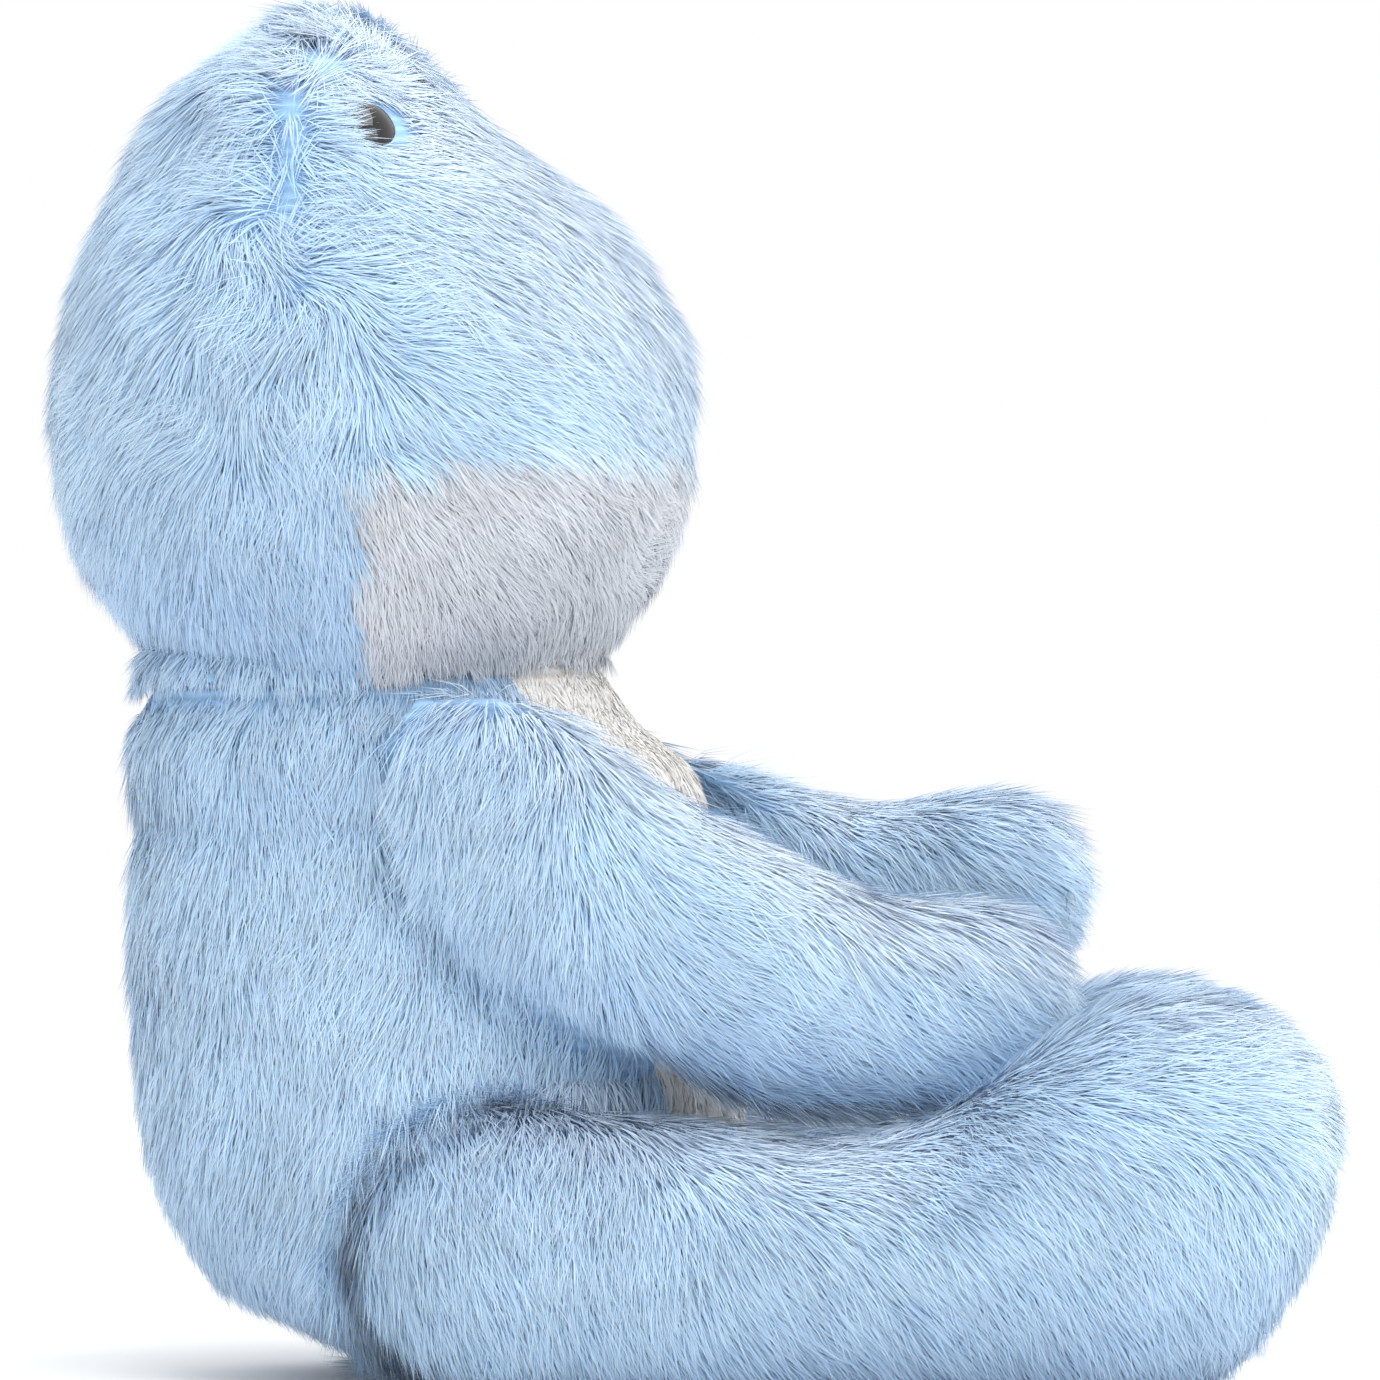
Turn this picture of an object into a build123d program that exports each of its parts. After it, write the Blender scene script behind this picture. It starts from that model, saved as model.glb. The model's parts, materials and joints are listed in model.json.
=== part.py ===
from build123d import *
import math
import os

# Stuffed dinosaur, seated. It faces -Y, sits on Z = 0, and its own right side is -X.
# Every cover is cut from long-pile fabric. Sizes are in millimetres.
# A station is placed by its distance forward of the seat's middle. The toy's own middle,
# which is the origin, is ORIGIN_FORWARD further forward.

# --- Driving dimensions ---------------------------------------------------------------
COVER = 8.0  # fabric backing and the pile combed flat over it
STUFFING_GAP = 0.3  # between a cover and the fibre inside it
MOVING_GAP = 0.8  # between two bodies that turn on each other
FAR = 300.0  # longer than the toy, for cuts that go right through
ORIGIN_FORWARD = 43.8

# Head and torso: height, back, front, half width of each level section
HEAD_LEVELS = [
    (157, -75, 12, 46),
    (163, -83.5, 20, 55),
    (170, -89, 27, 62),
    (182, -96, 35.5, 71),
    (197, -103, 44, 79),
    (215, -108, 49, 84),
    (235, -108.5, 49, 84),
    (255, -104.5, 42.5, 78),
    (271, -99, 32, 69.5),
    (285, -92, 17, 62.5),
    (297, -85, 0.5, 56),
    (308, -76, -11, 47),
    (317, -65, -19.5, 35),
    (323, -56, -28, 22),
    (326, -48, -37, 10),
]
TORSO_LEVELS = [
    (0, -25, 25, 30),
    (2.5, -37, 38, 42),
    (8, -46, 47, 51),
    (18, -60, 54, 58),
    (30, -71.5, 58, 62),
    (46, -80.5, 61.5, 64.5),
    (66, -85.5, 63.5, 65),
    (88, -87.5, 62, 63),
    (108, -88.5, 58, 60),
    (126, -88, 56.5, 58),
    (140, -87, 52.5, 57.5),
    (149, -86.5, 46.5, 58.5),
]

# Neck: the torso ends in a ball, and the head's hollow underside turns on it
NECK_FORWARD, NECK_HEIGHT, NECK_R = -26.0, 127.0, 68.0
NECK_LEVELS = (156, 163, 170, 177, 183, 188, 191)

# Seams of the head: the centre gusset, and the white jaw below the mouth line
GUSSET_HALF = 20.0
JAW_BACK, JAW_HEIGHT, JAW_RISE_DEG = -32.0, 220.0, 4.0

# Oval belly panel that runs on up under the chin, and the oval seat panel under the torso
BELLY_HALF, BELLY_LOW, BELLY_HIGH = 47.0, 8.0, 230.0
SEAT_BACK, SEAT_FRONT, SEAT_HALF, SEAT_REACH = -36.0, 37.0, 31.0, 12.0

# Safety eyes
EYE_FORWARD, EYE_HEIGHT, EYE_R = -27.5, 299.0, 9.0
EYE_DOME, EYE_SINK = 5.5, 3.0
POST_R, POST_LENGTH, POST_FIT = 2.5, 14.0, 0.2
WASHER_R, WASHER_THICK, WASHER_DEPTH, POCKET_FIT = 8.0, 1.6, 8.5, 0.4

# Arms: forward, height, distance from the middle, half height, half width of each section
ARM_STATIONS = [
    (-24, 144, 61, 12, 7),
    (-18, 142, 61, 22, 11),
    (-4, 136, 63, 31, 16.5),
    (16, 126, 65.5, 34, 20.5),
    (40, 111, 64, 33, 22.5),
    (66, 98.5, 58, 30, 22.5),
    (92, 92, 49.5, 25.5, 21.5),
    (113, 92, 43, 23, 20),
    (127, 93, 40, 17, 14),
    (134.5, 94, 39, 7.5, 6.5),
]
SHOULDER_FORWARD, SHOULDER_HEIGHT = -3.0, 137.0
SHOULDER_BOSS_R, SHOULDER_FLOOR, SHOULDER_MIDDLE = 15.0, 49.0, 74.0
ARM_SEAM = ((75.0, -20.0), (39.0, 134.0))  # distance from the middle and forward, at each end
SHOULDER_R, SHOULDER_FACE = 47.0, 62.8  # flat round the shoulder, beside the torso
CHEST_R, CHEST_FACE = 82.0, 30.0  # where the cone from there meets the chest
LEFT_ARM_LIFT = 12.0

# Legs: forward, top, bottom, half width, distance from the middle of each upright section
HIP_FORWARD, HIP_HEIGHT = 2.0, 33.5
LEG_STATIONS = [
    (-29.5, 43.5, 23.5, 6, 52),
    (-23, 55, 12, 13, 53),
    (-12, 63.4, 3.6, 18, 55.5),
    (2, 66.5, 0.5, 21, 58),
    (28, 67, 0, 24.5, 61.5),
    (56, 65, 0, 26.5, 64.5),
    (84, 63, 0, 26.5, 67),
    (101, 66, 0, 27.5, 67.5),
    (118.5, 76.5, 0, 29.5, 68.5),
    (135, 86, 0, 31, 69.5),
    (150, 92, 0, 31.5, 70),
    (164, 92.6, 3, 30.5, 70.5),
    (177, 89.5, 12, 27, 71),
    (187, 82.5, 25, 21, 71),
    (193.5, 74, 38, 13, 71),
    (196.5, 66, 49, 6, 71),
]
HIP_WALL, HIP_REACH = 35.5, 35.0  # the pelvis between the legs, and the room round a hip
LEG_SEAM = 68.0
SOLE_FROM = 180.0


def level_section(height, back, front, half_width):
    """A level oval, for the head and the torso."""
    return Plane((0, -(back + front) / 2, height)) * Ellipse(half_width, (front - back) / 2)


def neck_section(height):
    """A level circle of the neck's ball."""
    radius = math.sqrt(NECK_R**2 - (height - NECK_HEIGHT) ** 2)
    return Plane((0, -NECK_FORWARD, height)) * Circle(radius)


def facing_forwards(forward, middle, height):
    """An upright plane across the toy, whose own X is the toy's X."""
    return Plane(origin=(middle, -forward, height), x_dir=(1, 0, 0), z_dir=(0, -1, 0))


def upright_section(forward, height, middle, half_height, half_width):
    """An upright oval across a limb."""
    return facing_forwards(forward, middle, height) * Ellipse(half_width, half_height)


def shrink(solid, by):
    """The same shape, smaller by that much on every side."""
    if by == 0:
        return solid
    box = solid.bounding_box()
    factors = tuple((side - 2 * by) / side for side in box.size)
    shift = tuple(mid * (1 - factor) for mid, factor in zip(box.center(), factors))
    return Pos(*shift) * scale(solid, by=factors)


def limb(sections, by):
    """A limb through its upright sections, smaller all round by that much."""
    kept = [s for s in sections if min(s[3], s[4]) > by * 1.35]
    return loft([upright_section(f, h, m, hh - by, hw - by) for f, h, m, hh, hw in kept])


def along_x(forward, height, radius, start, end):
    """A round bar across the toy, between two distances from the middle."""
    bar = Cylinder(radius, end - start, align=(Align.CENTER, Align.CENTER, Align.MIN))
    return Pos(start, -forward, height) * Rot(0, 90, 0) * bar


def left_and_right(shape):
    """The shape on the left side and its mirror image on the right."""
    return [shape, mirror(shape, about=Plane.YZ)]


def arm_turned(shape, degrees):
    """A left arm turned about the shoulder, hand upwards."""
    shoulder = Axis((0, -SHOULDER_FORWARD, SHOULDER_HEIGHT), (-1, 0, 0))
    return shape.rotate(shoulder, degrees)


# --- Forms: each can be made smaller by a wall, for its lining and its stuffing ---------
def neck_ball(radius):
    """A ball round the neck's turning point."""
    return Pos(0, -NECK_FORWARD, NECK_HEIGHT) * Sphere(radius)


def head_form(by):
    """The head, with its round hollow over the neck."""
    form = shrink(loft([level_section(*level) for level in HEAD_LEVELS]), by)
    return form - neck_ball(NECK_R + MOVING_GAP + by)


def torso_outline(by):
    """The torso and neck without room for the limbs."""
    levels = [level_section(*level) for level in TORSO_LEVELS]
    return shrink(loft(levels + [neck_section(height) for height in NECK_LEVELS]), by)


def leg_bay(by):
    """Room for the left leg beside the pelvis: round at the hip, then open forwards."""
    wall = HIP_WALL - by
    reach = HIP_REACH + by
    corner = Pos(wall, -HIP_FORWARD, HIP_HEIGHT + reach)
    forwards = corner * Box(FAR, FAR, FAR, align=(Align.MIN, Align.MAX, Align.MAX))
    return along_x(HIP_FORWARD, HIP_HEIGHT, reach, wall, FAR) + forwards


def arm_bay(by):
    """The left shoulder's round recess."""
    radius = SHOULDER_BOSS_R + MOVING_GAP + by
    return along_x(SHOULDER_FORWARD, SHOULDER_HEIGHT, radius, SHOULDER_FLOOR - by, FAR)


def torso_form(by):
    """The torso with its neck and with room for the four limbs."""
    form = torso_outline(by)
    for bay in left_and_right(leg_bay(by)) + left_and_right(arm_bay(by)):
        form -= bay
    return form


def torso_side(by):
    """A flat disc and a cone round the shoulder's axis, which the torso's side stays within."""
    slope = SHOULDER_FACE - CHEST_FACE
    cone = Cone(CHEST_R, SHOULDER_R, slope, align=(Align.CENTER, Align.CENTER, Align.MIN))
    side = Pos(CHEST_FACE + by, -SHOULDER_FORWARD, SHOULDER_HEIGHT) * Rot(0, 90, 0) * cone
    return side + along_x(SHOULDER_FORWARD, SHOULDER_HEIGHT, CHEST_R, -FAR, CHEST_FACE + by)


def left_arm_form(by):
    """The left arm, clear of the torso at any turn of the shoulder."""
    form = limb(ARM_STATIONS, by) - torso_side(by)
    start = SHOULDER_FLOOR + MOVING_GAP + by
    boss_r = SHOULDER_BOSS_R - by
    return form + along_x(SHOULDER_FORWARD, SHOULDER_HEIGHT, boss_r, start, SHOULDER_MIDDLE)


def left_leg_form(by):
    """The left leg, from the hip along the floor to the upturned foot."""
    rows = [(f, (top + low) / 2, m, (top - low) / 2, hw) for f, top, low, hw, m in LEG_STATIONS]
    return limb(rows, by)


def cover_of(form):
    """The fabric layer round a form."""
    return form(0) - form(COVER)


def stuffing_of(form):
    """The fibre that fills a form's cover."""
    return form(COVER + STUFFING_GAP)


def write(name, shape):
    """Writes one node's STEP file, with the toy's middle at the origin."""
    export_step(Pos(0, ORIGIN_FORWARD, 0) * shape, f"parts/{name}.step")


def write_pair(name, left):
    """Writes a left piece and its mirror image."""
    for side, shape in zip(("left", "right"), left_and_right(left)):
        write(f"{name}_{side}", shape)


os.makedirs("parts", exist_ok=True)

# --- Eyes: a domed front with a post, locked by a washer behind the cover ---------------
brow = Axis((0, -EYE_FORWARD, EYE_HEIGHT), (1, 0, 0))
hits = head_form(0).find_intersection_points(brow)
surface, outward = max(hits, key=lambda hit: hit[0].X)
eye_seat = Plane(origin=surface - outward * EYE_SINK, z_dir=outward)
DOWN = (Align.CENTER, Align.CENTER, Align.MAX)
UP = (Align.CENTER, Align.CENTER, Align.MIN)
dome_r = (EYE_R**2 + EYE_DOME**2) / (2 * EYE_DOME)
dome = Pos(0, 0, EYE_DOME - dome_r) * Sphere(dome_r) & Cylinder(EYE_R, EYE_R, align=UP)
eye = eye_seat * (dome + Cylinder(POST_R, POST_LENGTH, align=DOWN))
washer = Cylinder(WASHER_R, WASHER_THICK, align=DOWN)
washer -= Cylinder(POST_R + POST_FIT, 2 * WASHER_THICK + 1, align=DOWN)
washer = eye_seat * Pos(0, 0, -WASHER_DEPTH) * washer
eye_hole = Cylinder(EYE_R + POST_FIT, FAR / 10, align=UP)
eye_hole += Cylinder(POST_R + POST_FIT, FAR / 10, align=DOWN)
pocket_floor = WASHER_DEPTH + WASHER_THICK + POCKET_FIT
eye_pocket = Cylinder(WASHER_R + POCKET_FIT, pocket_floor, align=DOWN)
eye_pocket += Cylinder(POST_R + POCKET_FIT, POST_LENGTH + POCKET_FIT, align=DOWN)
write_pair("eye", eye)
write_pair("eye_washer", washer)

# --- Head: two sides, the centre gusset and the white jaw ------------------------------
head_cover = cover_of(head_form)
head_stuffing = stuffing_of(head_form)
for hole in left_and_right(eye_seat * eye_hole):
    head_cover -= hole
for pocket in left_and_right(eye_seat * eye_pocket):
    head_stuffing -= pocket
mouth = Pos(0, -JAW_BACK, JAW_HEIGHT) * Rot(-JAW_RISE_DEG, 0, 0)
jaw_wedge = mouth * Box(FAR, FAR, FAR, align=(Align.CENTER, Align.MAX, Align.MAX))
write("jaw_panel", head_cover & jaw_wedge)
head_upper = head_cover - jaw_wedge
gusset_left = Plane.YZ.offset(GUSSET_HALF)
write_pair("head_side", split(head_upper, bisect_by=gusset_left, keep=Keep.TOP))
write("head_gusset", head_upper & Box(2 * GUSSET_HALF, 4 * FAR, 4 * FAR))
write("head_stuffing", head_stuffing)

# --- Torso: two backs, the cream belly and the seat -------------------------------------
torso_cover = cover_of(torso_form)
belly_middle = facing_forwards(0, 0, (BELLY_LOW + BELLY_HIGH) / 2)
belly_oval = belly_middle * Ellipse(BELLY_HALF, (BELLY_HIGH - BELLY_LOW) / 2)
belly_cut = extrude(belly_oval, FAR)
seat_middle = Pos(0, -(SEAT_BACK + SEAT_FRONT) / 2, 0)
seat_oval = seat_middle * Ellipse(SEAT_HALF, (SEAT_FRONT - SEAT_BACK) / 2)
seat_cut = extrude(seat_oval, SEAT_REACH, both=True)
write("seat_panel", torso_cover & seat_cut)
torso_walls = torso_cover - seat_cut
write("belly_panel", torso_walls & belly_cut)
torso_back = torso_walls - belly_cut
write_pair("back_panel", split(torso_back, bisect_by=Plane.YZ, keep=Keep.TOP))
write("torso_stuffing", stuffing_of(torso_form))

# --- Arms: an outer and an inner panel each; the left arm is carried a little higher -----
arm_cover = cover_of(left_arm_form)
(near_x, near_f), (tip_x, tip_f) = ARM_SEAM
arm_seam = Plane(origin=(near_x, -near_f, 0), z_dir=(tip_f - near_f, tip_x - near_x, 0))
arm_pieces = {
    "arm_outer": split(arm_cover, bisect_by=arm_seam, keep=Keep.TOP),
    "arm_inner": split(arm_cover, bisect_by=arm_seam, keep=Keep.BOTTOM),
    "arm_stuffing": stuffing_of(left_arm_form),
}
for name, shape in arm_pieces.items():
    write(f"{name}_left", arm_turned(shape, LEFT_ARM_LIFT))
    write(f"{name}_right", mirror(shape, about=Plane.YZ))

# --- Legs: an outer, an inner and a sole panel each --------------------------------------
leg_cover = cover_of(left_leg_form)
sole_seam = facing_forwards(SOLE_FROM, 0, 0)
write_pair("leg_sole", split(leg_cover, bisect_by=sole_seam, keep=Keep.TOP))
leg_tube = split(leg_cover, bisect_by=sole_seam, keep=Keep.BOTTOM)
leg_seam = Plane.YZ.offset(LEG_SEAM)
write_pair("leg_outer", split(leg_tube, bisect_by=leg_seam, keep=Keep.TOP))
write_pair("leg_inner", split(leg_tube, bisect_by=leg_seam, keep=Keep.BOTTOM))
write_pair("leg_stuffing", stuffing_of(left_leg_form))
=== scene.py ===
"""A seated stuffed dinosaur in long pile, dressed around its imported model."""
import json
import math

import bmesh
import bpy
import numpy as np
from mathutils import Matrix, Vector
from mathutils.bvhtree import BVHTree


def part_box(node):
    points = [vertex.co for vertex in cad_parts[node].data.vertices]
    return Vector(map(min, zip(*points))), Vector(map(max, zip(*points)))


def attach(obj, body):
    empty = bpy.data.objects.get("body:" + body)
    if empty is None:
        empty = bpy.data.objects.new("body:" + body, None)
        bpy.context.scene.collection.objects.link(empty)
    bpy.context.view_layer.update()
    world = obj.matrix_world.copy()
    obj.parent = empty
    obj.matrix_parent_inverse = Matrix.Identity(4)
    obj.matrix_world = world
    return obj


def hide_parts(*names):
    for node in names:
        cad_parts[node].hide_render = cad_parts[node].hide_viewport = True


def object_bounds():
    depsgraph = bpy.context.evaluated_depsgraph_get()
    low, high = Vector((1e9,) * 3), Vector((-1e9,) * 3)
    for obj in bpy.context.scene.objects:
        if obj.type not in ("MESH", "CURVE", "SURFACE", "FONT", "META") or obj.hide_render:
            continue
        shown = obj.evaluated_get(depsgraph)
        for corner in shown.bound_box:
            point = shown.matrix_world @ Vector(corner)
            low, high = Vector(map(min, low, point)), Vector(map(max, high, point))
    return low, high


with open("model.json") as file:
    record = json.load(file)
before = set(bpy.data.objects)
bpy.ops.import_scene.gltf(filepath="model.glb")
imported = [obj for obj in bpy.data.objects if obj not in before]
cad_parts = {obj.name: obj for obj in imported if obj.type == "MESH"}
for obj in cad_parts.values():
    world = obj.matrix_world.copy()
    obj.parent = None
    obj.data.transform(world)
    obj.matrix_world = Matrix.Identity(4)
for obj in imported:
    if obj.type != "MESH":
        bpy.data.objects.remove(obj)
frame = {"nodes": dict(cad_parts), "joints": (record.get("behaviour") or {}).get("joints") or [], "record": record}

CAD_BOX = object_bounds()
RECORD = frame["record"]
MM = 0.001

bl_info = {
    "name": "Long Pile Stuffed Dinosaur",
    "version": (1, 0, 0),
    "blender": (4, 5, 0),
    "location": "3D View > Sidebar > Plush",
    "description": "Dresses a seated stuffed dinosaur in combed long pile, with domed eyes",
    "category": "Object",
}

# --- Places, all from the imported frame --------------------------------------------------
BODIES = RECORD["behaviour"]["bodies"]
JOINTS = {joint["child"]: joint for joint in frame["joints"]}
SEED = 11

# Creases between the bodies: how far points look along their normal and out of the crease, and
# how short a sight outwards shuts a point in
FAR_ROOM, FAR_SIGHT, SHUT_SIGHT = 40 * MM, 30 * MM, 25 * MM

# Round each eye: the side from which pile leans over it, and the patch that grows none
BEHIND_EYE = np.array([[0.0, 0.85, -0.5]])
BARE_SHIFT, BARE_RADIUS = np.array([0.0, -3.5, 1.5]) * MM, 10.5 * MM

# What lies under the pile, for each body: its panels
PANELS = {
    body: [n for n in nodes if "stuffing" not in n and "eye" not in n] for body, nodes in BODIES.items()
}

# Each panel's pile: its material, and its length and density as shares of the long pile's
PILE_OF_PANEL = {"jaw_panel": ("white", 0.72, 1.0), "belly_panel": ("cream", 0.3, 1.6)}


def pile_of(panel):
    """The colour, length share and density share of one panel's pile."""
    return PILE_OF_PANEL.get(panel, ("sky", 1.0, 1.0))


def pivot(body):
    """Where a moving body turns, in the frame."""
    return np.array(JOINTS[body]["pos_m"])


def body_box(body):
    """The lowest and highest corner of a body's covers."""
    boxes = [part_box(node) for node in PANELS[body]]
    low = np.min([tuple(b[0]) for b in boxes], axis=0)
    high = np.max([tuple(b[1]) for b in boxes], axis=0)
    return low, high


# --- Settings a user would change --------------------------------------------------------
def length(name, default_mm, description):
    """A length setting with a default in millimetres."""
    return bpy.props.FloatProperty(
        name=name, default=default_mm * MM, min=0.0, unit="LENGTH", description=description
    )


def colour(name, default_hex, description):
    """A colour setting with an sRGB default."""
    return bpy.props.FloatVectorProperty(
        name=name, default=linear(default_hex)[:3], size=3, min=0.0, max=1.0,
        subtype="COLOR", description=description,
    )


def linear(text):
    """An sRGB hex colour as linear RGBA."""
    parts = [int(text[i : i + 2], 16) / 255 for i in (1, 3, 5)]
    return tuple(c / 12.92 if c <= 0.04045 else ((c + 0.055) / 1.055) ** 2.4 for c in parts) + (1.0,)


class PlushSizes(bpy.types.PropertyGroup):
    pile_length: length("Pile length", 15.5, "How long the body's pile is")
    strand_width: length("Strand width", 0.34, "Width of one strand, a few fibres, at its widest")
    strands_per_cm2: bpy.props.FloatProperty(
        name="Strands per square centimetre", default=310.0, min=1.0, description="Strands of fibre"
    )
    lock_spacing: length("Lock spacing", 6.5, "Distance between the locks that the pile gathers in")
    backing: length("Backing thickness", 1.2, "Thickness of the knitted backing")
    inset: length("Inset", 5.0, "How deep the backing lies below the pile's outer surface")
    swell: length("Swell", 3.5, "How far the filling may push the backing out")
    grid: length("Grid", 4.0, "Size of the cells that each stuffed form is made in")
    camera_distance: length("Camera distance", 2200.0, "From the middle of the toy to the camera")
    view_height: length("View height", 332.0, "Height of what the camera sees at the toy")


class PlushColours(bpy.types.PropertyGroup):
    # Each root colour is darker than its tip: painted shade for the light lost between the fibres near the backing
    sky_root: colour("Sky root", "#a0cbf1", "Sky blue pile near the backing")
    sky_tip: colour("Sky tip", "#cfe6f8", "Sky blue pile at its tips")
    # Painted highlight: pile that faces up and forwards, towards the top light, is painted this pale colour
    painted_highlight: colour("Brushed", "#dbe6f0", "Pile brushed pale, where it faces up and forwards")
    # Painted shade: pile that faces down is painted this darker colour
    painted_underside_shade: colour("Sheltered", "#7fa6d8", "Pile that faces down")
    white_root: colour("White root", "#c6ccd6", "White pile near the backing")
    white_tip: colour("White tip", "#dfe2e8", "White pile at its tips")
    cream_root: colour("Cream root", "#eae7e2", "Cream pile near the backing")
    cream_tip: colour("Cream tip", "#faf8f5", "Cream pile at its tips")


# --- Nodes --------------------------------------------------------------------------------
def add_node(tree, kind, inputs=None, **settings):
    """Adds a node with its settings, and links or sets its inputs by name or number."""
    node = tree.nodes.new(kind)
    for key, value in settings.items():
        setattr(node, key, value)
    for key, value in (inputs or {}).items():
        if isinstance(value, bpy.types.NodeSocket):
            tree.links.new(value, node.inputs[key])
        else:
            node.inputs[key].default_value = value
    return node


def new_material(name):
    """An empty node material and its tree."""
    material = bpy.data.materials.new(name)
    material.use_nodes = True
    material.node_tree.nodes.clear()
    return material, material.node_tree


def finish_material(material, tree, shader):
    """Links the shader to the material's output."""
    add_node(tree, "ShaderNodeOutputMaterial", {"Surface": shader.outputs["BSDF"]})
    return material


def pile_material(name, root, tip, painted_highlight, painted_underside_shade):
    """Polyester long pile, raised by brushing and combed: soft, matt, with a silky sheen along each fibre.

    Roots are painted darker and tips paler, painted shade for the light lost between the fibres near the backing,
    and locks differ a little from each other.
    """
    material, tree = new_material(name)
    along = add_node(tree, "ShaderNodeAttribute", attribute_name="along").outputs["Fac"]
    chance = add_node(tree, "ShaderNodeAttribute", attribute_name="chance").outputs["Fac"]
    # Painted shade at the roots: the colour runs from the darker root to the paler tip along each strand
    blend = add_node(tree, "ShaderNodeMapRange", {"Value": along, "From Max": 0.9}, clamp=True)
    base = add_node(
        tree, "ShaderNodeMix", {"Factor": blend.outputs["Result"], 6: (*root, 1), 7: (*tip, 1)},
        data_type="RGBA",
    )
    place = add_node(tree, "ShaderNodeTexCoord").outputs["Object"]
    patches = add_node(
        tree, "ShaderNodeTexNoise", {"Vector": place, "Scale": 38.0, "Detail": 3.0, "Roughness": 0.6}
    )
    mottle = add_node(
        tree, "ShaderNodeMapRange",
        {"Value": patches.outputs["Fac"], "From Min": 0.3, "From Max": 0.7, "To Min": 0.93, "To Max": 1.06},
    )
    strand = add_node(tree, "ShaderNodeMapRange", {"Value": chance, "To Min": 0.91, "To Max": 1.08})
    value = add_node(
        tree, "ShaderNodeMath", {0: mottle.outputs["Result"], 1: strand.outputs["Result"]},
        operation="MULTIPLY",
    )
    toned = add_node(
        tree, "ShaderNodeHueSaturation", {"Value": value.outputs[0], "Color": base.outputs[2]}
    )
    facing = add_node(tree, "ShaderNodeTexCoord").outputs["Normal"]
    shade = toned.outputs["Color"]
    # Painted light by facing: pile facing up and forwards is mixed towards the painted highlight colour, pile
    # facing down towards the painted shade colour
    for way, low, high, most, other in (
        ((0.0, -0.62, 0.78), 0.25, 0.95, 0.75, painted_highlight), ((0.0, 0.1, -1.0), 0.0, 0.9, 0.55, painted_underside_shade),
    ):
        lit = add_node(tree, "ShaderNodeVectorMath", {0: facing, 1: way}, operation="DOT_PRODUCT")
        share = add_node(
            tree, "ShaderNodeMapRange",
            {"Value": lit.outputs["Value"], "From Min": low, "From Max": high, "To Max": most}, clamp=True,
        )
        blend = add_node(
            tree, "ShaderNodeMix", {"Factor": share.outputs["Result"], 6: shade, 7: (*other, 1)},
            data_type="RGBA",
        )
        shade = blend.outputs[2]
    shader = add_node(
        tree, "ShaderNodeBsdfPrincipled",
        {"Base Color": shade, "Roughness": 0.62, "IOR": 1.5,
         "Specular IOR Level": 0.25, "Sheen Weight": 0.35, "Sheen Roughness": 0.4,
         "Sheen Tint": (0.9, 0.96, 1.0, 1.0)},
    )
    return finish_material(material, tree, shader)


def backing_material(name, shade):
    """Knitted polyester backing, seen only between the roots: matt, with fine rows of loops."""
    material, tree = new_material(name)
    place = add_node(tree, "ShaderNodeTexCoord").outputs["Object"]
    rows = add_node(
        tree, "ShaderNodeTexWave", {"Vector": place, "Scale": 1 / (1.4 * MM) / 6.283, "Distortion": 1.5},
        bands_direction="Z",
    )
    tone = add_node(
        tree, "ShaderNodeMix",
        {"Factor": rows.outputs["Fac"], 6: tuple(c * 0.8 for c in shade) + (1,), 7: (*shade, 1)},
        data_type="RGBA",
    )
    bump = add_node(tree, "ShaderNodeBump", {"Height": rows.outputs["Fac"], "Distance": 0.3 * MM})
    shader = add_node(
        tree, "ShaderNodeBsdfPrincipled",
        {"Base Color": tone.outputs[2], "Roughness": 0.9, "Normal": bump.outputs["Normal"],
         "Sheen Weight": 0.2},
    )
    return finish_material(material, tree, shader)


def fibre_material(name):
    """Loose white polyester fibre: matt, with fine crossing fibres raised on it."""
    material, tree = new_material(name)
    place = add_node(tree, "ShaderNodeTexCoord").outputs["Object"]
    fibres = add_node(
        tree, "ShaderNodeTexNoise",
        {"Vector": place, "Scale": 1 / (3 * MM), "Detail": 6.0, "Roughness": 0.7, "Distortion": 2.5},
    )
    tone = add_node(
        tree, "ShaderNodeMix",
        {"Factor": fibres.outputs["Fac"], 6: linear("#d2d3d2"), 7: linear("#f7f7f5")}, data_type="RGBA",
    )
    bump = add_node(tree, "ShaderNodeBump", {"Height": fibres.outputs["Fac"], "Distance": 1.2 * MM})
    shader = add_node(
        tree, "ShaderNodeBsdfPrincipled",
        {"Base Color": tone.outputs[2], "Roughness": 0.95, "Normal": bump.outputs["Normal"],
         "Sheen Weight": 0.4},
    )
    return finish_material(material, tree, shader)


def plastic_material(name, shade, roughness, coat):
    """Moulded plastic, a little uneven in its gloss."""
    material, tree = new_material(name)
    place = add_node(tree, "ShaderNodeTexCoord").outputs["Object"]
    smudges = add_node(tree, "ShaderNodeTexNoise", {"Vector": place, "Scale": 1 / (6 * MM), "Detail": 3.0})
    gloss = add_node(
        tree, "ShaderNodeMapRange",
        {"Value": smudges.outputs["Fac"], "To Min": roughness * 0.8, "To Max": roughness * 1.3},
    )
    shader = add_node(
        tree, "ShaderNodeBsdfPrincipled",
        {"Base Color": linear(shade), "Roughness": gloss.outputs["Result"], "IOR": 1.49,
         "Coat Weight": coat, "Coat Roughness": 0.03},
    )
    return finish_material(material, tree, shader)


# --- Soft forms ----------------------------------------------------------------------------
def merged_copy(nodes, name):
    """One new mesh object from copies of these CAD nodes."""
    shape = bmesh.new()
    for node in nodes:
        shape.from_mesh(frame["nodes"][node].data)
    bmesh.ops.remove_doubles(shape, verts=shape.verts, dist=0.001 * MM)
    mesh = bpy.data.meshes.new(name)
    shape.to_mesh(mesh)
    shape.free()
    piece = bpy.data.objects.new(name, mesh)
    bpy.context.scene.collection.objects.link(piece)
    return piece


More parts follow.
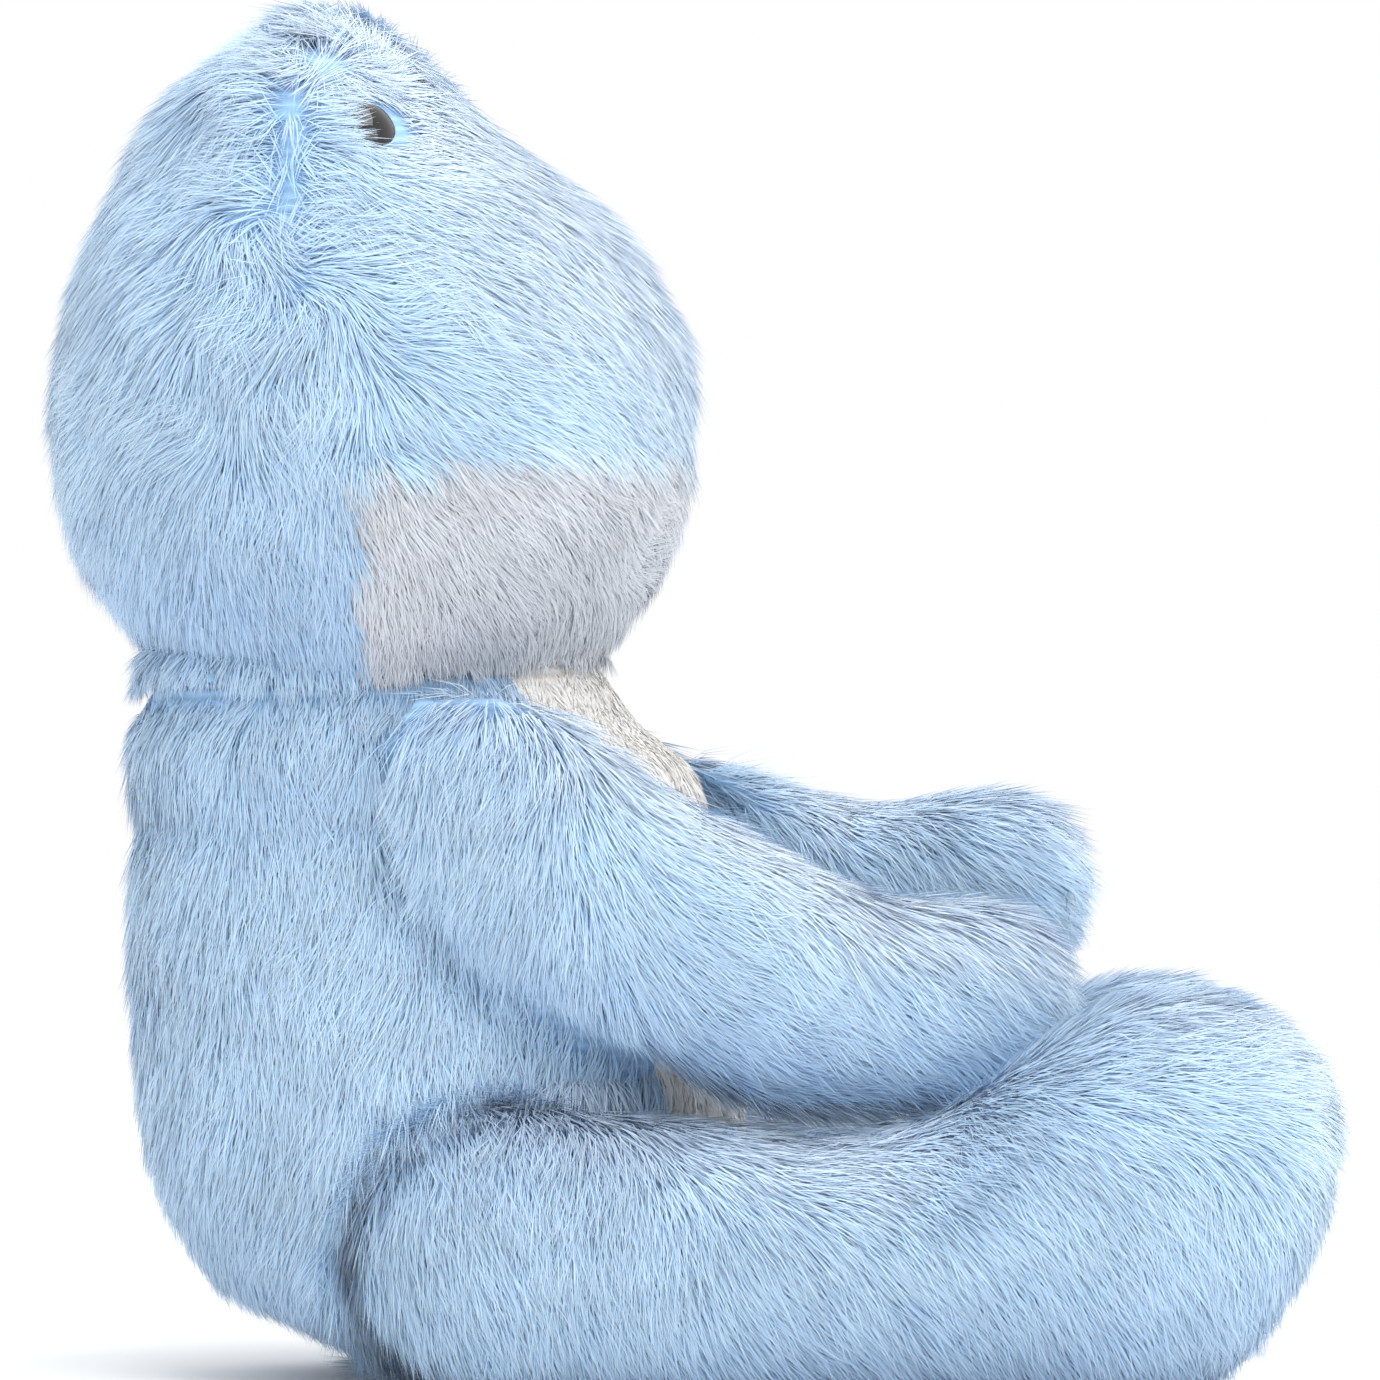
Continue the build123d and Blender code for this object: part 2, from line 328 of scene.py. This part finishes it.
def bake(piece):
    """Makes the piece's modifiers part of its mesh."""
    seen = piece.evaluated_get(bpy.context.evaluated_depsgraph_get())
    mesh = bpy.data.meshes.new_from_object(seen)
    piece.modifiers.clear()
    piece.data = mesh


def remesh(piece, cell):
    """Turns the piece into one even skin of that cell size, and keeps only its outside."""
    piece.modifiers.new("cells", "REMESH").voxel_size = cell
    bake(piece)
    shape = bmesh.new()
    shape.from_mesh(piece.data)
    left = set(shape.verts)
    groups = []
    while left:
        group, edge = set(), [left.pop()]
        while edge:
            vert = edge.pop()
            group.add(vert)
            near = {e.other_vert(vert) for e in vert.link_edges} & left
            left -= near
            edge.extend(near)
        groups.append(group)
    outside = max(groups, key=len)
    inner = [v for v in shape.verts if v not in outside]
    bmesh.ops.delete(shape, geom=inner, context="VERTS")
    shape.to_mesh(piece.data)
    shape.free()


def read(mesh, name):
    """A vector point attribute, or the positions or normals, as an array with one row per vertex."""
    rows = np.zeros(len(mesh.vertices) * 3, np.float32)
    if name == "normal":
        mesh.vertex_normals.foreach_get("vector", rows)
    elif name == "position":
        mesh.vertices.foreach_get("co", rows)
    else:
        mesh.attributes[name].data.foreach_get("vector", rows)
    return rows.reshape(-1, 3).astype(float)


def read_value(mesh, name):
    """A float point attribute as an array."""
    rows = np.zeros(len(mesh.vertices), np.float32)
    mesh.attributes[name].data.foreach_get("value", rows)
    return rows


def store(mesh, name, rows):
    """Writes a point attribute from an array with one or three columns."""
    kind = "FLOAT" if rows.ndim == 1 else "FLOAT_VECTOR"
    layer = mesh.attributes.get(name) or mesh.attributes.new(name, kind, "POINT")
    layer.data.foreach_set("value" if rows.ndim == 1 else "vector", rows.astype(np.float32).ravel())


def move_to(mesh, rows):
    """Puts the vertices at these positions."""
    mesh.vertices.foreach_set("co", rows.astype(np.float32).ravel())
    mesh.update()


def inflate(piece, cap):
    """Blows the closed skin up like a filled cover, no point further than the cap."""
    before = read(piece.data, "position")
    cloth = piece.modifiers.new("fill", "CLOTH")
    settings = cloth.settings
    settings.quality = 5
    settings.mass = 0.3
    settings.tension_stiffness = 8.0
    settings.compression_stiffness = 8.0
    settings.use_pressure = True
    settings.uniform_pressure_force = 4.0
    settings.effector_weights.gravity = 0.0
    cloth.collision_settings.use_collision = False
    scene = bpy.context.scene
    for step in range(1, 21):
        scene.frame_set(step)
    seen = piece.evaluated_get(bpy.context.evaluated_depsgraph_get())
    after = read(seen.data, "position")
    piece.modifiers.clear()
    scene.frame_set(1)
    moved = after - before
    moved -= moved.mean(axis=0)
    far = np.linalg.norm(moved, axis=1, keepdims=True)
    moved *= np.minimum(1.0, cap / np.maximum(far, 1e-9))
    move_to(piece.data, before + moved)


def tree_of(mesh):
    """A search tree for a mesh's faces."""
    points = [v.co.copy() for v in mesh.vertices]
    return BVHTree.FromPolygons(points, [tuple(p.vertices) for p in mesh.polygons])


def reach(points, ways, trees, limit):
    """How far each point can see in its own direction before one of the trees is in the way."""
    room = np.full(len(points), limit)
    for i, (point, way) in enumerate(zip(points, ways)):
        start = Vector(point + way * 0.3 * MM)
        for tree in trees:
            hit = tree.ray_cast(start, Vector(way), room[i])
            if hit[0] is not None:
                room[i] = min(room[i], hit[3])
    return room


def outwards(points, body):
    """The way out of the creases between the bodies: sideways at a limb, level at the neck."""
    neck = pivot("head")
    level = points - neck
    level[:, 2] = 0
    sideways = np.zeros_like(points)
    sideways[:, 0] = np.where(points[:, 0] < 0, -1.0, 1.0)
    high = np.clip((points[:, 2:] - neck[2] - 15 * MM) / (12 * MM), 0, 1)
    if body == "head":
        high = np.ones_like(high)
    return unit(sideways * (1 - high) + unit(level) * high)


def nearest_panel(points, panels):
    """The number of the panel that each point lies nearest to."""
    trees = [tree_of(frame["nodes"][panel].data) for panel in panels]
    gaps = [[tree.find_nearest(Vector(point))[3] for point in points] for tree in trees]
    return np.argmin(np.array(gaps), axis=0)


def waves(points, size, seed):
    """Smooth noise about that size across, from -1 to 1, as three columns."""
    draw = np.random.default_rng(seed)
    total = np.zeros((len(points), 3))
    for _ in range(7):
        pitch = draw.normal(size=(3, 3)) * (4.2 / size)
        total += np.sin(points @ pitch + draw.uniform(0, 6.283, 3))
    return total / 4.5


def unit(rows):
    """Rows scaled to length 1."""
    return rows / np.maximum(np.linalg.norm(rows, axis=1, keepdims=True), 1e-9)


def depth_of(body, base, normals, room):
    """How deep the backing lies under each point, so that the combed pile ends at the outline."""
    panels = PANELS[body]
    short = np.array([pile_of(panel)[1] for panel in panels])[nearest_panel(base, panels)]
    depth = bpy.context.scene.plush_sizes.inset * np.clip(short, 0.4, 1.0)
    depth *= np.clip(0.25 + room / (20 * MM), 0.0, 1.0)
    upwards = np.clip(normals[:, 2], 0, 1)
    forwards = np.clip(-normals[:, 1], 0, 1)
    backwards = np.clip(normals[:, 1], 0, 1)
    if body == "head":
        under = np.clip((200 * MM - base[:, 2]) / (40 * MM), 0, 1)
        depth *= 1 - 0.85 * np.clip(1.6 * upwards, 0, 1) + (0.8 + 1.2 * under) * backwards
        past = base - eye_place(base)
        behind = np.clip(past @ unit(BEHIND_EYE)[0] / (8 * MM), 0, 1)
        near = np.exp(-((np.linalg.norm(past, axis=1) / (17 * MM)) ** 2))
        depth -= (depth - 0.5 * MM) * behind * near
    elif body == "torso":
        rounded = np.clip(1 - base[:, 2] / (26 * MM), 0, 1) * np.clip(2 * backwards, 0, 1)
        depth += 8 * MM * rounded
        depth *= np.clip((pivot("head")[2] + 26 * MM - base[:, 2]) / (16 * MM), 0.5, 1.0)
    else:
        depth *= 1 - 0.7 * upwards - 0.6 * forwards
    return depth


def skin_of(body):
    """The closed, filled skin of one body, with what the pile needs stored on it."""
    sizes = bpy.context.scene.plush_sizes
    skin = merged_copy(BODIES[body], f"{body}_skin")
    remesh(skin, sizes.grid)
    others = [tree_of(frame["nodes"][n].data) for o, nodes in PANELS.items() if o != body for n in nodes]
    raised = read(skin.data, "position") + read(skin.data, "normal") * 1.2 * MM
    sight = reach(raised, outwards(raised, body), others + [tree_of(skin.data)], FAR_SIGHT)
    smooth = skin.modifiers.new("even", "SMOOTH")
    smooth.iterations = 4
    bake(skin)
    mesh = skin.data
    base = read(mesh, "position")
    normals = read(mesh, "normal")
    room = reach(base, normals, others, FAR_ROOM)
    store(mesh, "base", base)
    store(mesh, "room", room)
    store(mesh, "sight", sight)
    move_to(mesh, base - normals * depth_of(body, base, normals, room)[:, None])
    inflate(skin, sizes.swell)
    skin.modifiers.new("finer", "SUBSURF").levels = 1
    bake(skin)
    return skin


# --- How the pile is combed ------------------------------------------------------------------
def eye_place(points):
    """For each point, the middle of the eye on its side."""
    low, high = body_box("head")
    rows = []
    for side in ("right", "left"):
        verts = read(frame["nodes"][f"eye_{side}"].data, "position")
        away = np.linalg.norm(verts - (low + high) / 2, axis=1)
        rows.append(verts[away > np.quantile(away, 0.6)].mean(axis=0))
    return np.array(rows)[(points[:, 0] > 0).astype(int)]


def comb_head(points):
    """Out from a whorl on each cheek: up to the crown, forwards to the snout, down at the neck."""
    low, high = body_box("head")
    whorl = low + (high - low) * np.array([0.5, 0.6, 0.54])
    out = points - whorl
    out[:, 0] = 0
    out[:, 2] -= np.clip(out[:, 2], -22 * MM, 58 * MM)
    near = np.exp(-((np.linalg.norm(out, axis=1) / (34 * MM)) ** 2))[:, None]
    tousled = 0.7 * waves(points, 34 * MM, SEED + 2) + 0.5 * waves(points, 15 * MM, SEED + 3)
    out = unit(out) * (1 - 0.6 * near) + near * tousled
    crown = np.clip((points[:, 2] - (high[2] - 45 * MM)) / (45 * MM), 0, 1)
    out[:, 2] -= 0.45 * (1 - crown)
    out[:, 1] += 0.35 * crown
    eye = np.linalg.norm(points - eye_place(points), axis=1)
    brow = np.exp(-((eye / (16 * MM)) ** 2))[:, None]
    return out * (1 - brow) + brow * np.array([0.0, -0.9, 0.3])


def comb_torso(points):
    """Straight down, and a little back."""
    return np.tile(np.array([0.0, 0.12, -1.0]), (len(points), 1))


def comb_arm(points):
    """Down from the shoulder like the torso's pile, then along to the hand."""
    along = pivot("arm_left")[1] - points[:, 1]
    root = 1 - np.clip((along - 10 * MM) / (45 * MM), 0, 1)
    rows = np.zeros_like(points)
    rows[:, 1] = -0.9 + 1.1 * root
    rows[:, 2] = -0.42 - 0.6 * root
    return rows


def comb_leg(points):
    """Down from the hip, along the shin, and down round the foot."""
    along = pivot("leg_left")[1] - points[:, 1]
    thigh = 1 - np.clip((along - 15 * MM) / (60 * MM), 0, 1)
    foot = np.clip((along - 110 * MM) / (50 * MM), 0, 1)
    rows = np.zeros_like(points)
    rows[:, 1] = -0.75 + 0.5 * foot + 0.6 * thigh
    rows[:, 2] = -0.6 - 0.4 * foot - 0.4 * thigh
    ridge = foot * np.clip((points[:, 2] - 52 * MM) / (28 * MM), 0, 1)
    return rows + ridge[:, None] * np.array([0.0, -0.9, 1.3])


COMB = {"head": comb_head, "torso": comb_torso, "arm": comb_arm, "leg": comb_leg}


def comb(skin, body):
    """Stores on the skin which way the pile lies, how long it is and how thick it grows."""
    mesh = skin.data
    points = read(mesh, "position")
    normals = read(mesh, "normal")
    way = unit(COMB[body.split("_")[0]](points))
    way += 0.3 * waves(points, 50 * MM, SEED) + 0.24 * waves(points, 16 * MM, SEED + 1)
    way -= normals * np.sum(way * normals, axis=1, keepdims=True)
    room = read_value(mesh, "room")
    shut = read_value(mesh, "sight") < SHUT_SIGHT
    crease = np.where(shut | (body == "head"), 0.0, np.exp(-room / (9 * MM)))[:, None]
    way = way * (1 - 0.6 * crease) + 0.6 * crease * outwards(points, body)
    long = np.where(shut, np.clip(0.3 + room / (26 * MM), 0.3, 1.0), 1.0)
    dense = np.where(shut & (room < 12 * MM), 0.06, 1.0)
    if body == "head":
        under = np.clip((points[:, 2] - body_box("head")[0][2] - 4 * MM) / (24 * MM), 0.0, 1.0)
        long *= 0.45 + 0.55 * under
        way += (1 - under[:, None]) * (np.array([0.0, 0.0, -1.0]) - 1.2 * outwards(points, body))
        away = np.linalg.norm(points - eye_place(points) - BARE_SHIFT, axis=1)
        dense[away < BARE_RADIUS] = 0.0
        long *= np.clip(0.6 + (away - 12 * MM) / (20 * MM), 0.6, 1.0)
    if body == "torso":
        long *= np.clip((body_box("head")[0][2] + 8 * MM - points[:, 2]) / (22 * MM), 0.5, 1.0)
    store(mesh, "way", unit(way))
    store(mesh, "long", long)
    store(mesh, "dense", dense)


# --- Pile --------------------------------------------------------------------------------------
def strand_shape():
    """One strand: a slim leaf of a few fibres, one unit long, bent over from its root."""
    verts = [(0.0, 0.0, -0.03), (-0.5, 0.4, 0.14), (0.5, 0.4, 0.14), (0.0, 1.0, 0.16)]
    mesh = bpy.data.meshes.new("strand")
    mesh.from_pydata(verts, [], [(0, 2, 1), (1, 2, 3)])
    store(mesh, "along", np.array([0, 0.4, 0.4, 1.0]))
    return bpy.data.objects.new("strand", mesh)


def pile_tree():
    """Grows strands on a surface along its stored direction, and gathers them into locks."""
    tree = bpy.data.node_groups.new("Combed pile", "GeometryNodeTree")
    sockets = (
        ("Backing", "NodeSocketGeometry"), ("Strand", "NodeSocketObject"),
        ("Strands per m2", "NodeSocketFloat"), ("Length", "NodeSocketFloat"),
        ("Width", "NodeSocketFloat"), ("Locks per m2", "NodeSocketFloat"),
        ("Gather", "NodeSocketFloat"), ("Seed", "NodeSocketInt"), ("Material", "NodeSocketMaterial"),
    )
    for name, kind in sockets:
        tree.interface.new_socket(name, in_out="INPUT", socket_type=kind)
    tree.interface.new_socket("Pile", in_out="OUTPUT", socket_type="NodeSocketGeometry")
    given = add_node(tree, "NodeGroupInput").outputs

    def attribute(name, kind="FLOAT"):
        return add_node(tree, "GeometryNodeInputNamedAttribute", {"Name": name}, data_type=kind).outputs[0]

    def vector(operation, a, b):
        return add_node(tree, "ShaderNodeVectorMath", {0: a, 1: b}, operation=operation).outputs[0]

    def scaled(a, factor):
        return add_node(tree, "ShaderNodeVectorMath", {0: a, "Scale": factor}, operation="SCALE").outputs[0]

    def number(operation, a, b):
        return add_node(tree, "ShaderNodeMath", {0: a, 1: b}, operation=operation).outputs[0]

    def chance(low, high, seed):
        inputs = {2: low, 3: high, "Seed": seed}
        return add_node(tree, "FunctionNodeRandomValue", inputs, data_type="FLOAT").outputs[1]

    def chances(low, high, seed):
        inputs = {0: low, 1: high, "Seed": seed}
        return add_node(tree, "FunctionNodeRandomValue", inputs, data_type="FLOAT_VECTOR").outputs[0]

    density = number("MULTIPLY", given["Strands per m2"], attribute("dense"))
    roots = add_node(
        tree, "GeometryNodeDistributePointsOnFaces",
        {"Mesh": given["Backing"], "Density": density, "Seed": given["Seed"]},
    )
    locks = add_node(
        tree, "GeometryNodeDistributePointsOnFaces",
        {"Mesh": given["Backing"], "Density": given["Locks per m2"], "Seed": 5},
    )
    place = add_node(tree, "GeometryNodeInputPosition").outputs[0]
    index = add_node(tree, "GeometryNodeSampleNearest", {"Geometry": locks.outputs["Points"]}, domain="POINT")
    lock_place = add_node(
        tree, "GeometryNodeSampleIndex",
        {"Geometry": locks.outputs["Points"], "Value": place, "Index": index.outputs[0]},
        data_type="FLOAT_VECTOR",
    )
    lock_chance = add_node(
        tree, "GeometryNodeSampleIndex",
        {"Geometry": locks.outputs["Points"], "Value": chance(0.0, 1.0, 31), "Index": index.outputs[0]},
        data_type="FLOAT",
    )
    normal = roots.outputs["Normal"]
    points = add_node(
        tree, "GeometryNodeStoreNamedAttribute",
        {"Geometry": roots.outputs["Points"], "Name": "pull",
         "Value": scaled(vector("SUBTRACT", lock_place.outputs[0], place), given["Gather"])},
        data_type="FLOAT_VECTOR", domain="POINT",
    ).outputs[0]
    points = add_node(
        tree, "GeometryNodeStoreNamedAttribute",
        {"Geometry": points, "Name": "facing", "Value": normal}, data_type="FLOAT_VECTOR", domain="POINT",
    ).outputs[0]
    mixed = number("ADD", number("MULTIPLY", lock_chance.outputs[0], 0.55), chance(0.0, 0.45, 37))
    points = add_node(
        tree, "GeometryNodeStoreNamedAttribute",
        {"Geometry": points, "Name": "chance", "Value": mixed}, data_type="FLOAT", domain="POINT",
    ).outputs[0]
    wander = chances((-0.34, -0.34, -0.34), (0.34, 0.34, 0.34), 41)
    along = vector("ADD", attribute("way", "FLOAT_VECTOR"), wander)
    turn = add_node(
        tree, "FunctionNodeAxesToRotation", {0: normal, 1: along}, primary_axis="Z", secondary_axis="Y"
    ).outputs[0]
    roll = chances((-0.06, -0.6, 0.0), (0.26, 0.6, 0.0), 43)
    turn = add_node(
        tree, "FunctionNodeRotateRotation", {0: turn, 1: roll}, rotation_space="LOCAL"
    ).outputs[0]
    tall = number("MULTIPLY", number("MULTIPLY", given["Length"], attribute("long")), chance(0.7, 1.15, 47))
    wide = number("MULTIPLY", given["Width"], chance(0.7, 1.25, 53))
    size = add_node(tree, "ShaderNodeCombineXYZ", {0: wide, 1: tall, 2: tall}).outputs[0]
    blade = add_node(tree, "GeometryNodeObjectInfo", {"Object": given["Strand"]}).outputs["Geometry"]
    grown = add_node(
        tree, "GeometryNodeInstanceOnPoints",
        {"Points": points, "Instance": blade, "Rotation": turn, "Scale": size},
    ).outputs[0]
    grown = add_node(tree, "GeometryNodeRealizeInstances", {0: grown}).outputs[0]
    tip = number("POWER", attribute("along"), 1.4)
    droop = (0.0, 0.0, -1.2 * MM)
    shift = scaled(vector("ADD", attribute("pull", "FLOAT_VECTOR"), droop), tip)
    grown = add_node(tree, "GeometryNodeSetPosition", {"Geometry": grown, "Offset": shift}).outputs[0]
    x, y, z = add_node(tree, "ShaderNodeSeparateXYZ", {0: place}).outputs
    kept = add_node(tree, "ShaderNodeCombineXYZ", {0: x, 1: y, 2: number("MAXIMUM", z, 0.2 * MM)}).outputs[0]
    grown = add_node(tree, "GeometryNodeSetPosition", {"Geometry": grown, "Position": kept}).outputs[0]
    grown = add_node(tree, "GeometryNodeSetMaterial", {0: grown, "Material": given["Material"]}).outputs[0]
    add_node(tree, "NodeGroupOutput", {0: grown})
    return tree


def set_inputs(modifier, **values):
    """Sets a Geometry Nodes modifier's inputs by their names, through their identifiers."""
    for item in modifier.node_group.interface.items_tree:
        key = item.name.replace(" ", "_")
        if item.in_out == "INPUT" and key in values:
            modifier[item.identifier] = values[key]


def keep_faces(mesh, name, chosen):
    """A copy of the mesh with only the chosen faces."""
    shape = bmesh.new()
    shape.from_mesh(mesh)
    shape.faces.ensure_lookup_table()
    dropped = [shape.faces[i] for i in np.flatnonzero(~chosen)]
    bmesh.ops.delete(shape, geom=dropped, context="FACES")
    copy = bpy.data.meshes.new(name)
    shape.to_mesh(copy)
    shape.free()
    return copy


def panel_of_faces(skin, panels):
    """Which panel each face of the skin belongs to, as a number."""
    mesh = skin.data
    base = read(mesh, "base")
    middles = np.array([base[list(p.vertices)].mean(axis=0) for p in mesh.polygons])
    return nearest_panel(middles, panels)


def corners(mesh):
    """The vertex number of every face corner, and how many corners each face has."""
    verts = np.zeros(len(mesh.loops), np.int32)
    mesh.loops.foreach_get("vertex_index", verts)
    counts = np.zeros(len(mesh.polygons), np.int32)
    mesh.polygons.foreach_get("loop_total", counts)
    return verts, counts


def join_pile(name, backing, pile, materials):
    """One mesh from a panel's backing and the pile that grows on it."""
    shift = len(backing.vertices)
    wall_corners, wall_counts = corners(backing)
    pile_corners, pile_counts = corners(pile)
    counts = np.concatenate((wall_counts, pile_counts))
    mesh = bpy.data.meshes.new(name)
    mesh.vertices.add(shift + len(pile.vertices))
    mesh.loops.add(int(counts.sum()))
    mesh.loops.foreach_set("vertex_index", np.concatenate((wall_corners, pile_corners + shift)))
    mesh.polygons.add(len(counts))
    mesh.polygons.foreach_set("loop_start", np.cumsum(counts) - counts)
    move_to(mesh, np.vstack((read(backing, "position"), read(pile, "position"))))
    mesh.update(calc_edges=True)
    for material in materials:
        mesh.materials.append(material)
    slots = np.zeros(len(counts), np.int32)
    slots[len(wall_counts):] = 1
    mesh.polygons.foreach_set("material_index", slots)
    mesh.polygons.foreach_set("use_smooth", np.ones(len(slots), bool))
    for key in ("along", "chance"):
        store(mesh, key, np.concatenate((np.zeros(shift), read_value(pile, key))))
    facing = np.vstack((read(backing, "normal"), unit(read(pile, "facing"))))
    mesh.normals_split_custom_set_from_vertices(facing.tolist())
    return mesh


def dress(body):
    """Builds one body's skin and grows its panels' pile, each panel a piece of its own."""
    sizes = bpy.context.scene.plush_sizes
    skin = skin_of(body)
    comb(skin, body)
    panels = PANELS[body]
    owner = panel_of_faces(skin, panels)
    for number, panel in enumerate(panels):
        tone, long, dense = pile_of(panel)
        backing = bpy.data.objects.new(panel, keep_faces(skin.data, panel, owner == number))
        bpy.context.scene.collection.objects.link(backing)
        grow = backing.modifiers.new("pile", "NODES")
        grow.node_group = bpy.data.node_groups["Combed pile"]
        set_inputs(
            grow, Strand=bpy.data.objects["strand"],
            Strands_per_m2=sizes.strands_per_cm2 * dense * 1e4, Length=sizes.pile_length * long,
            Width=sizes.strand_width, Locks_per_m2=1 / sizes.lock_spacing**2, Gather=0.42,
            Seed=SEED + number, Material=bpy.data.materials[f"{tone} long pile"],
        )
        seen = backing.evaluated_get(bpy.context.evaluated_depsgraph_get())
        pile = bpy.data.meshes.new_from_object(seen)
        backing.modifiers.clear()
        wall = backing.modifiers.new("wall", "SOLIDIFY")
        wall.thickness = sizes.backing
        wall.offset = -1
        bake(backing)
        materials = [bpy.data.materials[f"{tone} knitted backing"], bpy.data.materials[f"{tone} long pile"]]
        name = f"{panel}_pile"
        piece = bpy.data.objects.new(name, join_pile(name, backing.data, pile, materials))
        bpy.context.scene.collection.objects.link(piece)
        bpy.data.objects.remove(backing)
        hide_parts(panel)
        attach(piece, body)
    bpy.data.objects.remove(skin)


# --- Operators ------------------------------------------------------------------------------------
class PLUSH_OT_materials(bpy.types.Operator):
    """Make the pile and backing materials"""

    bl_idname = "plush.materials"
    bl_label = "Pile materials"

    def execute(self, context):
        colours = context.scene.plush_colours
        for tone in ("sky", "white", "cream"):
            root, tip = getattr(colours, f"{tone}_root"), getattr(colours, f"{tone}_tip")
            # The sky pile has its own painted highlight and painted shade colours; the white and cream pile use
            # their tip and root colours for them
            painted_highlight = colours.painted_highlight if tone == "sky" else tip
            painted_underside_shade = colours.painted_underside_shade if tone == "sky" else root
            pile_material(f"{tone} long pile", root, tip, painted_highlight, painted_underside_shade)
            # The backing takes the root colour, with its painted root shade
            backing_material(f"{tone} knitted backing", root)
        return {"FINISHED"}


class PLUSH_OT_covers(bpy.types.Operator):
    """Make every stuffed cover and grow its pile"""

    bl_idname = "plush.covers"
    bl_label = "Covers and pile"

    def execute(self, context):
        context.scene.collection.objects.link(strand_shape())
        pile_tree()
        for body in PANELS:
            dress(body)
        bpy.data.objects.remove(bpy.data.objects["strand"])
        return {"FINISHED"}


class PLUSH_OT_stuffing(bpy.types.Operator):
    """Make the lumpy fibre fill inside each cover"""

    bl_idname = "plush.stuffing"
    bl_label = "Stuffing"

    def execute(self, context):
        material = fibre_material("polyester fibre fill")
        for body, nodes in BODIES.items():
            for node in (n for n in nodes if "stuffing" in n):
                fill = merged_copy([node], f"{node}_fill")
                remesh(fill, 5 * MM)
                points = read(fill.data, "position")
                lumps = 0.8 * waves(points, 22 * MM, SEED)[:, 0] + 0.5 * waves(points, 9 * MM, SEED)[:, 1]
                depth = np.clip(1.6 + lumps, 0.2, None) * MM
                move_to(fill.data, points - read(fill.data, "normal") * depth[:, None])
                fill.data.polygons.foreach_set("use_smooth", np.ones(len(fill.data.polygons), bool))
                fill.data.materials.append(material)
                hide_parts(node)
                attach(fill, body)
        return {"FINISHED"}


class PLUSH_OT_eyes(bpy.types.Operator):
    """Give the safety eyes and their washers their plastics"""

    bl_idname = "plush.eyes"
    bl_label = "Eyes"

    def execute(self, context):
        glossy = plastic_material("moulded black eye plastic", "#060608", 0.07, 0.6)
        matt = plastic_material("moulded white washer plastic", "#dfe0dd", 0.45, 0.0)
        for side in ("left", "right"):
            for node, material in ((f"eye_{side}", glossy), (f"eye_washer_{side}", matt)):
                data = frame["nodes"][node].data
                data.materials.clear()
                data.materials.append(material)
        return {"FINISHED"}


class PLUSH_OT_stage(bpy.types.Operator):
    """Set the pale floor, the soft lights and the camera"""

    bl_idname = "plush.stage"
    bl_label = "Stage"

    def execute(self, context):
        scene = context.scene
        sizes = scene.plush_sizes
        scene.view_settings.view_transform = "Standard"
        mesh = bpy.data.meshes.new("floor")
        far = 6.0
        mesh.from_pydata([(-far, -far, 0), (far, -far, 0), (far, far, 0), (-far, far, 0)], [], [(0, 1, 2, 3)])
        floor = bpy.data.objects.new("floor", mesh)
        scene.collection.objects.link(floor)
        material, tree = new_material("matt white paper floor")
        shader = add_node(
            tree, "ShaderNodeBsdfPrincipled",
            {"Base Color": linear("#ffffff"), "Roughness": 1.0, "Specular IOR Level": 0.0},
        )
        mesh.materials.append(finish_material(material, tree, shader))
        world = bpy.data.worlds.new("soft room")
        world.use_nodes = True
        world.node_tree.nodes["Background"].inputs[0].default_value = linear("#ffffff")
        world.node_tree.nodes["Background"].inputs[1].default_value = 1.0
        scene.world = world
        low, high = CAD_BOX
        middle = (low + high) / 2
        for name, away, size, power in (
            ("top softbox", Vector((-0.5, -0.25, 1.5)), 1.4, 18.0),
            ("front softbox", Vector((-1.2, -1.3, 0.7)), 1.0, 5.0),
        ):
            light = bpy.data.lights.new(name, "AREA")
            light.size = size
            light.energy = power
            lamp = bpy.data.objects.new(name, light)
            lamp.location = middle + away
            lamp.rotation_euler = (-away).to_track_quat("-Z", "Y").to_euler()
            scene.collection.objects.link(lamp)
        data = bpy.data.cameras.new("camera")
        data.sensor_width = 36.0
        data.lens = data.sensor_width * sizes.camera_distance / sizes.view_height
        camera = bpy.data.objects.new("camera", data)
        camera.location = (-sizes.camera_distance, middle.y - 4.8 * MM, 165 * MM)
        camera.rotation_euler = (math.radians(90), 0, math.radians(-90))
        data.clip_end = 50.0
        scene.collection.objects.link(camera)
        scene.camera = camera
        return {"FINISHED"}


class PLUSH_PT_panel(bpy.types.Panel):
    """Lists the steps that dress the toy"""

    bl_idname = "PLUSH_PT_panel"
    bl_label = "Stuffed dinosaur"
    bl_space_type = "VIEW_3D"
    bl_region_type = "UI"
    bl_category = "Plush"

    def draw(self, context):
        for step in STEPS:
            self.layout.operator(step.bl_idname)


STEPS = (PLUSH_OT_materials, PLUSH_OT_covers, PLUSH_OT_stuffing, PLUSH_OT_eyes, PLUSH_OT_stage)
CLASSES = (PlushSizes, PlushColours) + STEPS + (PLUSH_PT_panel,)


def register():
    for cls in CLASSES:
        bpy.utils.register_class(cls)
    bpy.types.Scene.plush_sizes = bpy.props.PointerProperty(type=PlushSizes)
    bpy.types.Scene.plush_colours = bpy.props.PointerProperty(type=PlushColours)


def unregister():
    del bpy.types.Scene.plush_colours
    del bpy.types.Scene.plush_sizes
    for cls in reversed(CLASSES):
        bpy.utils.unregister_class(cls)


def main():
    """Dresses the toy step by step."""
    register()
    for step in STEPS:
        group, name = step.bl_idname.split(".")
        getattr(getattr(bpy.ops, group), name)()


if __name__ == "__main__":
    main()
